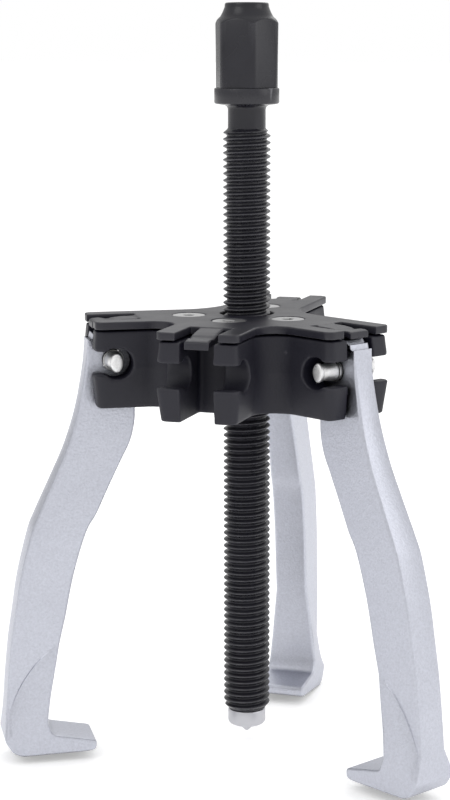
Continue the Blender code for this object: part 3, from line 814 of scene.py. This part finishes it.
def even_loop(bm, high):
    """Weld an open loop's points onto the grid's columns, one a column, and return its edges."""
    spacing = 2.0 * math.pi / THREAD_COLUMNS
    phase = math.radians(HEX_CORNER_ANGLE)

    def column_of(vert):
        return (math.atan2(vert.co.y, vert.co.x) - phase) / spacing

    loop = {vert for edge in open_loop(bm, high) for vert in edge.verts}
    kept, welded = {}, {}
    for vert in sorted(loop, key=lambda vert: abs(column_of(vert) - round(column_of(vert)))):
        column = round(column_of(vert)) % THREAD_COLUMNS
        if column in kept:
            welded[vert] = kept[column]
        else:
            kept[column] = vert
    bmesh.ops.weld_verts(bm, targetmap=welded)
    return open_loop(bm, high)


def extend(bm, edges, reach, height):
    """Extrude an open loop and place it: reach and height are functions of the angle."""
    made = bmesh.ops.extrude_edge_only(bm, edges=edges)["geom"]
    for vert in (item for item in made if isinstance(item, bmesh.types.BMVert)):
        angle = math.atan2(vert.co.y, vert.co.x)
        radius = reach(angle)
        vert.co = Vector((radius * math.cos(angle), radius * math.sin(angle), height(angle)))
    return [item for item in made if isinstance(item, bmesh.types.BMEdge)]


def extend_rings(bm, edges, rings):
    """Extrude an open loop through round rings of (radius, height), and return the last loop."""
    for radius, z in rings:
        edges = extend(bm, edges, lambda angle: radius, lambda angle: z)
    return edges


def cone_height(radius):
    """Return the height of the turned cone over the hexagon at a radius."""
    return HEX_TOP + (HEX_CORNER_REACH - radius) * HEX_CONE_SLOPE


def extend_head(bm):
    """Add the neck, collar, hexagon, its turned cone and the round end above the thread."""
    fillet_base = COLLAR_BOTTOM - COLLAR_LIP - NECK_FILLET
    rings = [(NECK_RADIUS, fillet_base)]
    for step in range(1, FILLET_STEPS + 1):
        angle = math.radians(90.0 * step / FILLET_STEPS)
        rings.append((NECK_RADIUS + NECK_FILLET * (1.0 - math.cos(angle)),
                      fillet_base + NECK_FILLET * math.sin(angle)))
    rings += [(COLLAR_RADIUS - inset, COLLAR_BOTTOM + up) for inset, up in COLLAR_LOWER_EDGE]
    rings += [(COLLAR_RADIUS - inset, COLLAR_TOP - down) for inset, down in COLLAR_UPPER_EDGE]
    edges = extend_rings(bm, even_loop(bm, True), rings)
    for inset, up in HEX_FOOT:
        edges = extend(bm, edges, lambda angle: min(hexagon_reach(angle), HEX_FOOT_LIMIT) - inset,
                       lambda angle: COLLAR_TOP + up)
    for inset, down in HEX_RIM:
        edges = extend(bm, edges, lambda angle: hexagon_reach(angle) - inset,
                       lambda angle: cone_height(hexagon_reach(angle)) - down)
    cone_start = HEX_FLAT_REACH - CONE_INSET
    low, high = cone_height(HEX_FLAT_REACH) + CONE_RISE, HEAD_TOP - CONE_END
    rings = [(cone_start - (cone_start - HEAD_TOP_RADIUS) * share ** CONE_CURVE[0],
              low + (high - low) * share ** CONE_CURVE[1]) for share in CONE_SHARES]
    rings += [(HEAD_TOP_RADIUS - inset, HEAD_TOP - down) for inset, down in HEAD_EDGE]
    bmesh.ops.contextual_create(bm, geom=extend_rings(bm, edges, rings))


def extend_bore(bm):
    """Add the flat end and the bore that the pressure tip's spigot sits in."""
    rings = [(END_BORE_RADIUS + END_BORE_CHAMFER, THREAD_BOTTOM),
             (END_BORE_RADIUS, THREAD_BOTTOM + END_BORE_CHAMFER),
             (END_BORE_RADIUS, SNAP_GROOVE[0]), (SNAP_GROOVE_RADIUS, SNAP_GROOVE[0]),
             (SNAP_GROOVE_RADIUS, SNAP_GROOVE[1]), (END_BORE_RADIUS, SNAP_GROOVE[1]),
             (END_BORE_RADIUS, END_BORE_TOP)]
    bmesh.ops.contextual_create(bm, geom=extend_rings(bm, even_loop(bm, False), rings))


def tip_skin():
    """Make the pressure tip: a small blunt point, a round-shouldered disc and a grooved spigot."""
    profile = list(TIP_POINT + TIP_DISC)
    profile += [(SPIGOT_RADIUS, SNAP_GROOVE[0]), (SPIGOT_GROOVE_RADIUS, SNAP_GROOVE[0]),
                (SPIGOT_GROOVE_RADIUS, SNAP_GROOVE[1]), (SPIGOT_RADIUS, SNAP_GROOVE[1])]
    profile += SPIGOT_END
    tip = finish_object("pressure_tip_skin", turned(profile, FINE_SIDES), "tip_zinc", "thrust_point",
                        smooth=TURNED_SMOOTH)
    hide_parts("pressure_tip")


# ---------------------------------------------------------------- arms

def head_outline():
    """Return the arm head's toothed outline about the pin, from its outer side to its inner side."""
    points = []
    root = HEAD_RADIUS - TOOTH_DEPTH
    pitch = (TOOTH_ANGLES[1] - TOOTH_ANGLES[0]) / TOOTH_COUNT
    for tooth in range(TOOTH_COUNT):
        start = TOOTH_ANGLES[0] + tooth * pitch
        points.append((root, start))
        points += [(HEAD_RADIUS, start + share * pitch) for share in TOOTH_TIP]
    last = math.degrees(math.acos((HEAD_INNER_REACH - TRUNNION_REACH) / root))
    for step in range(HEAD_STEPS + 1):
        points.append((root, TOOTH_ANGLES[1] + (last - TOOTH_ANGLES[1]) * step / HEAD_STEPS))
    outline = []
    for radius, degrees in points:
        angle = math.radians(degrees)
        outline.append((TRUNNION_REACH + radius * math.cos(angle),
                        TRUNNION_HEIGHT + radius * math.sin(angle)))
    return outline


def shank_half_width(z):
    """Return half the arm's width at a height above the crease."""
    low, high = TAPER_LEVELS
    share = min(1.0, max(0.0, (z - low) / (high - low)))
    return SHANK_HALF_WIDTH + (HEAD_HALF_WIDTH - SHANK_HALF_WIDTH) * share


def flare_half_width(z):
    """Return half the arm's width at a height on the inner edge of the flare."""
    high, low = CREASE[-1][1], FLARE_ENDS[1][1]
    return FOOT_HALF_WIDTH + (SHANK_HALF_WIDTH - FOOT_HALF_WIDTH) * (z - low) / (high - low)


def round_corners(points, reach):
    """Return a line through points with each inner corner replaced by a short curve."""
    rounded = [points[0]]
    for before, corner, after in zip(points, points[1:], points[2:]):
        middle = Vector(corner)
        back, ahead = Vector(before) - middle, Vector(after) - middle
        near = middle + back.normalized() * min(reach, CORNER_SHARE * back.length)
        far = middle + ahead.normalized() * min(reach, CORNER_SHARE * ahead.length)
        for step in range(CORNER_STEPS + 1):
            u = step / CORNER_STEPS
            rounded.append(tuple(near * (1 - u) ** 2 + middle * (2 * u * (1 - u)) + far * u * u))
    rounded.append(points[-1])
    return rounded


def arm_parts():
    """Return the arm's outline as named lists of (r, z, half width, edge rounding, crown)."""
    taper_low = TAPER_LEVELS[0] - 1e-6
    outer, inner = spline(OUTER_EDGE)[::-1], spline(INNER_EDGE)[::-1]
    toe = round_corners([FLARE_ENDS[1]] + list(FOOT) + [FLARE_ENDS[0]], TOE_CURVE)[1:-1]

    def crown(z):
        low, high = CROWN_LEVELS
        return EDGE_CROWN * max(0.0, min(1.0, (high - z) / CROWN_FADE, (z - low) / CROWN_FADE))

    def part(points, half_width, rounding=EDGE_ROUNDING, crowned=False):
        return [(r, z, half_width(z), rounding, crown(z) if crowned else 0.0) for r, z in points]

    def head_width(_):
        return HEAD_HALF_WIDTH

    def foot_width(_):
        return FOOT_HALF_WIDTH

    tooth_points = 3 * TOOTH_COUNT + 1
    head = head_outline()
    return [
        ("crease_start", part([CREASE[0]], shank_half_width, crowned=True)),
        ("outer_low", part([p for p in outer if p[1] < taper_low], shank_half_width, crowned=True)),
        ("outer_high", part([p for p in outer if p[1] >= taper_low], shank_half_width, crowned=True)),
        ("head", part(head[:tooth_points], head_width, TOOTH_ROUNDING)
         + part(head[tooth_points:], head_width, HEAD_ROUNDING)),
        ("inner_high", part([p for p in inner if p[1] >= taper_low], shank_half_width)),
        ("inner_low", part([p for p in inner if p[1] < taper_low], shank_half_width)),
        ("crease_end", part([CREASE[-1]], shank_half_width)),
        ("corner", part(FLARE_CORNER, flare_half_width)),
        ("full_end", part([FLARE_ENDS[1]], foot_width)),
        ("foot", part(toe, foot_width, TOE_ROUNDING)),
        ("full_start", part([FLARE_ENDS[0]], foot_width)),
    ]


def inward_directions(points):
    """Return, for a counter-clockwise outline, the in-plane direction that insets each point."""
    directions = []
    for before, here, after in zip(points[-1:] + points[:-1], points, points[1:] + points[:1]):
        arriving = (Vector(here[:2]) - Vector(before[:2])).normalized()
        leaving = (Vector(after[:2]) - Vector(here[:2])).normalized()
        both = Vector((-arriving.y - leaving.y, arriving.x + leaving.x))
        directions.append(both / max(0.9, 1.0 + arriving.dot(leaving)))
    return directions


def moved_line(line, first_end, last_end):
    """Return a line whose ends have moved to new places, the rest following less and less."""
    first_move, last_move = Vector(first_end) - Vector(line[0]), Vector(last_end) - Vector(line[-1])
    moved = []
    for index, point in enumerate(line):
        share = index / (len(line) - 1)
        moved.append(tuple(Vector(point) + first_move * (1.0 - share) ** 2 + last_move * share ** 2))
    return moved


def arm_flank(bm, sign, rim, places):
    """Fill one side of the arm inside its rounded rim: head, taper, shank, crease step and flare.

    rim holds the rim's vertices by part of the outline, and places their (r, z).
    """
    crease_line = moved_line(spline(CREASE), places["crease_start"][0], places["crease_end"][0])
    count = len(crease_line)
    (r_outer, z_outer), (r_inner, z_inner) = places["full_start"][0], places["full_end"][0]
    full_line = [(r_outer + (r_inner - r_outer) * step / (count - 1),
                  z_outer + (z_inner - z_outer) * step / (count - 1)) for step in range(count)]

    def vertex(r, z, half_width):
        return bm.verts.new((r - TRUNNION_REACH, sign * half_width, z - TRUNNION_HEIGHT))

    crease, step_foot, full = rim["crease_start"][:], rim["crease_start"][:], rim["full_start"][:]
    for index in range(1, count - 1):
        strength = math.sin(math.pi * index / (count - 1)) ** STEP_CURVE
        start, end = Vector(crease_line[index]), Vector(full_line[index])
        place = start + (end - start).normalized() * STEP_RUN
        crease.append(vertex(start.x, start.y, SHANK_HALF_WIDTH))
        step_foot.append(vertex(place.x, place.y, SHANK_HALF_WIDTH + STEP_RISE * strength))
        full.append(vertex(end.x, end.y, FOOT_HALF_WIDTH))
    for line, part in ((crease, "crease_end"), (step_foot, "crease_end"), (full, "full_end")):
        line.append(rim[part][0])
    outer_low, outer_high = rim["outer_low"][::-1], rim["outer_high"][::-1]
    bm.faces.new([outer_high[0]] + rim["head"] + [rim["inner_high"][0]])
    bm.faces.new(outer_high + rim["inner_high"][::-1])
    bm.faces.new([outer_high[-1]] + outer_low + crease + rim["inner_low"][::-1] + [rim["inner_high"][-1]])
    for index in range(count - 1):
        strip = [crease[index], crease[index + 1], step_foot[index + 1], step_foot[index]]
        bm.faces.new(list(dict.fromkeys(strip)))
    for index in range(count - 2):
        bm.faces.new((step_foot[index], step_foot[index + 1], full[index + 1], full[index]))
    last = bm.faces.new([step_foot[-2], step_foot[-1]] + rim["corner"] + [full[-1], full[-2]])
    bmesh.ops.triangulate(bm, faces=[last])
    bm.faces.new(full + rim["foot"])


def arm_solid():
    """Return the arm's solid about its pin, its outline rounded and its outer wall crowned."""
    bm = bmesh.new()
    parts = arm_parts()
    points = [point for name, part in parts for point in part]
    inward = inward_directions(points)

    def loop(inset_of, width_of):
        made = []
        for point, direction in zip(points, inward):
            inset = direction * inset_of(point)
            made.append(bm.verts.new((point[0] + inset.x - TRUNNION_REACH, width_of(point),
                                      point[1] + inset.y - TRUNNION_HEIGHT)))
        return made

    walls, middles = [], []
    for sign in (-1.0, 1.0):
        loops = []
        for step in range(EDGE_STEPS + 1):
            turn = math.radians(90.0 * step / EDGE_STEPS)
            loops.append(loop(lambda point: WALL_INSET + point[4] + point[3] * (1.0 - math.cos(turn)),
                              lambda point: sign * (point[2] - point[3] * (1.0 - math.sin(turn)))))
        for first, second in zip(loops, loops[1:]):
            bridge(bm, first, second)
        rim, places, start = {}, {}, 0
        for name, part in parts:
            rim[name] = loops[-1][start:start + len(part)]
            places[name] = [(vert.co.x + TRUNNION_REACH, vert.co.z + TRUNNION_HEIGHT) for vert in rim[name]]
            start += len(part)
        arm_flank(bm, sign, rim, places)
        walls.append(loops[0])
        middles.append(loop(lambda point: WALL_INSET, lambda point: sign * WALL_SHARE * point[2]))
    for first, second in ((walls[0], middles[0]), (middles[0], middles[1]), (middles[1], walls[1])):
        bridge(bm, first, second)
    return bm


def pin_solid():
    """Return a trunnion pin about its middle: waisted, with ring grooves and ends pressed oval."""
    inner, outer = PIN_GROOVE
    lip = outer + PIN_LIP
    waist = PIN_HALF_LENGTH - PIN_HEAD_LENGTH
    half = [(PIN_RADIUS, inner), (PIN_GROOVE_RADIUS, inner), (PIN_GROOVE_RADIUS, outer),
            (PIN_RADIUS - PIN_LIP / 2.0, outer), (PIN_RADIUS, lip)]
    for step in range(1, PIN_WAIST_STEPS + 1):
        share = step / PIN_WAIST_STEPS
        sunk = (PIN_RADIUS - PIN_WAIST_RADIUS) * math.sin(share * math.pi / 2.0) ** PIN_CURVE
        half.append((PIN_RADIUS - sunk, lip + (waist - outer) * share))
    half += [(radius, PIN_HALF_LENGTH - from_end) for radius, from_end in PIN_HEAD]
    bm = turned([(radius, -along) for radius, along in reversed(half)] + half, SIDES)
    bmesh.ops.rotate(bm, verts=bm.verts, matrix=Matrix.Rotation(-math.pi / 2, 3, "X"))
    for vert in bm.verts:
        share = min(1.0, max(0.0, (abs(vert.co.y) - waist + OVAL_LEAD) / OVAL_RUN))
        vert.co.x *= 1.0 - (1.0 - PIN_HEAD_FLATNESS) * share * share * (3.0 - 2.0 * share)
    return bm


def ring_solid(middle):
    """Return a snap ring about the pin, round-edged, at a distance along it."""
    (inner, outer), half, chamfer = RING_RADII, RING_HALF_WIDTH, RING_CHAMFER
    section = ((inner + chamfer, -half), (outer - chamfer, -half), (outer, -half + chamfer),
               (outer, half - chamfer), (outer - chamfer, half), (inner + chamfer, half),
               (inner, half - chamfer), (inner, -half + chamfer))
    bm = bmesh.new()
    loops = []
    for radius, along in section:
        loop = arc((0.0, 0.0), radius, 0.0, 360.0, SIDES)[:-1]
        loops.append([bm.verts.new((x, middle + along, z)) for x, z in loop])
    for first, second in zip(loops, loops[1:] + loops[:1]):
        bridge(bm, first, second)
    return bm


def shade_arm(arm):
    """Shade an arm's sides flat between its rounded edges."""
    shade(arm.data, ARM_SMOOTH)
    weighted = arm.modifiers.new("weighted", "WEIGHTED_NORMAL")
    weighted.keep_sharp = True
    settle(arm)


def place_on_arm(piece, station):
    """Move a piece's mesh from the pin's own frame to its place at a station."""
    angle = math.radians(STATIONS[station])
    x, y = at_station([(TRUNNION_REACH, 0.0)], STATIONS[station])[0]
    place = Matrix.Translation((x, y, TRUNNION_HEIGHT)) @ Matrix.Rotation(angle, 4, "Z")
    place @= Matrix.Rotation(math.radians(-lean_of(station)), 4, "Y")
    piece.data.transform(place)


def arms():
    """Make the three arms with their pins and rings."""
    for station in ARM_STATIONS:
        body = "arm_" + station
        arm = finish_object("arm_skin_" + station, arm_solid(), "zinc_arm", body, smooth=0)
        bore = turned([(PIN_BORE_RADIUS, -PIN_BORE_REACH), (PIN_BORE_RADIUS, PIN_BORE_REACH)], SIDES)
        bmesh.ops.rotate(bore, verts=bore.verts, matrix=Matrix.Rotation(-math.pi / 2, 3, "X"))
        cut(arm, add_mesh("pin_bore_tool", bore))
        shade_arm(arm)
        place_on_arm(arm, station)
        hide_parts("arm_" + station)
        pin = finish_object("trunnion_pin_skin_" + station, pin_solid(), "pin_zinc", body)
        place_on_arm(pin, station)
        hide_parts("trunnion_pin_" + station)
        for side, sign in (("a", -1.0), ("b", 1.0)):
            ring = finish_object("pin_ring_skin_%s_%s" % (station, side),
                                 ring_solid(sign * sum(PIN_GROOVE) / 2.0), "spring_steel", body)
            place_on_arm(ring, station)
            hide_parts("pin_ring_%s_%s" % (station, side))


# ---------------------------------------------------------------- studio

def add_floor():
    """Add the pale plain floor under the lowest piece."""
    size = FLOOR_SIZE
    mesh = bpy.data.meshes.new("floor")
    mesh.from_pydata([(-size, -size, 0), (size, -size, 0), (size, size, 0), (-size, size, 0)],
                     [], [(0, 1, 2, 3)])
    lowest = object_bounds()[0][2]
    floor = add_object("floor", mesh)
    floor.location = (0.0, 0.0, lowest)
    made, nodes, links, shader = new_material("floor_white")
    shader.inputs["Base Color"].default_value = (*grey(0.90), 1.0)
    shader.inputs["Roughness"].default_value = 0.9
    shader.inputs["Emission Color"].default_value = (*grey(1.0), 1.0)
    shader.inputs["Emission Strength"].default_value = FLOOR_GLOW
    mesh.materials.append(made)


def view_axes():
    """Return the directions to the photograph's right and toward its camera, both level."""
    view = math.radians(VIEW_AZIMUTH)
    return Vector((math.cos(view), math.sin(view), 0.0)), Vector((math.sin(view), -math.cos(view), 0.0))


def add_world():
    """Light the piece from a softly shaded white room, and show plain white behind it."""
    world = bpy.data.worlds.new("studio")
    bpy.context.scene.world = world
    world.use_nodes = True
    nodes, links = world.node_tree.nodes, world.node_tree.links
    backdrop = nodes["Background"]
    backdrop.inputs["Color"].default_value = (*grey(1.0), 1.0)
    room = nodes.new("ShaderNodeBackground")
    direction = nodes.new("ShaderNodeTexCoord")
    split = nodes.new("ShaderNodeSeparateXYZ")
    links.new(direction.outputs["Generated"], split.inputs["Vector"])
    height = mapped(nodes, links, split.outputs["Z"], ROOM_FLOOR, 1.0)
    shades = ramp(nodes, links, height, [(stop, grey(level)) for stop, level in ROOM_SHADES])
    right, near = view_axes()
    across = nodes.new("ShaderNodeVectorMath")
    across.operation = "DOT_PRODUCT"
    across.inputs[1].default_value = right * DIM_SIDE[0] - near * DIM_SIDE[1]
    links.new(direction.outputs["Generated"], across.inputs[0])
    level = mapped(nodes, links, across.outputs["Value"], 0.0, DIM_REACH, 1.0, DIM_LEVEL)
    links.new(scaled(nodes, links, shades, level), room.inputs["Color"])
    seen = nodes.new("ShaderNodeLightPath")
    either = nodes.new("ShaderNodeMixShader")
    links.new(seen.outputs["Is Camera Ray"], either.inputs["Fac"])
    links.new(room.outputs["Background"], either.inputs[1])
    links.new(backdrop.outputs["Background"], either.inputs[2])
    links.new(either.outputs["Shader"], nodes["World Output"].inputs["Surface"])


def add_lamps():
    """Add the soft lamps around the photograph's camera."""
    right, near = view_axes()
    for name, side, ahead, up, width, power in LAMPS:
        lamp = bpy.data.lights.new(name, "AREA")
        lamp.size = width
        lamp.energy = power
        holder = add_object(name, lamp)
        holder.location = right * side + near * ahead + Vector((0.0, 0.0, up))
        aim = Vector(LAMP_TARGET) - holder.location
        holder.rotation_euler = aim.to_track_quat("-Z", "Y").to_euler()


def add_camera():
    """Add the camera at the photograph's place and angle."""
    lens = bpy.data.cameras.new("camera")
    lens.lens = VIEW_LENS
    lens.shift_x = VIEW_SHIFT
    lens.clip_start = 0.01
    camera = add_object("camera", lens)
    camera.location = view_axes()[1] * VIEW_DISTANCE + Vector((0.0, 0.0, VIEW_HEIGHT))
    camera.rotation_euler = (math.radians(90.0 - VIEW_PITCH), 0.0, math.radians(VIEW_AZIMUTH))
    bpy.context.scene.camera = camera


MATERIALS = make_materials()
body_skin()
plate_skin()
plate_screws()
spindle_skin()
tip_skin()
arms()
for node, finish in (("thrust_ball", "ball_steel"), ("tip_snap_ring", "spring_steel")):
    frame["nodes"][node].data.materials.clear()
    frame["nodes"][node].data.materials.append(MATERIALS[finish])
add_floor()
add_world()
add_lamps()
add_camera()
bpy.context.scene.view_settings.view_transform = "Standard"
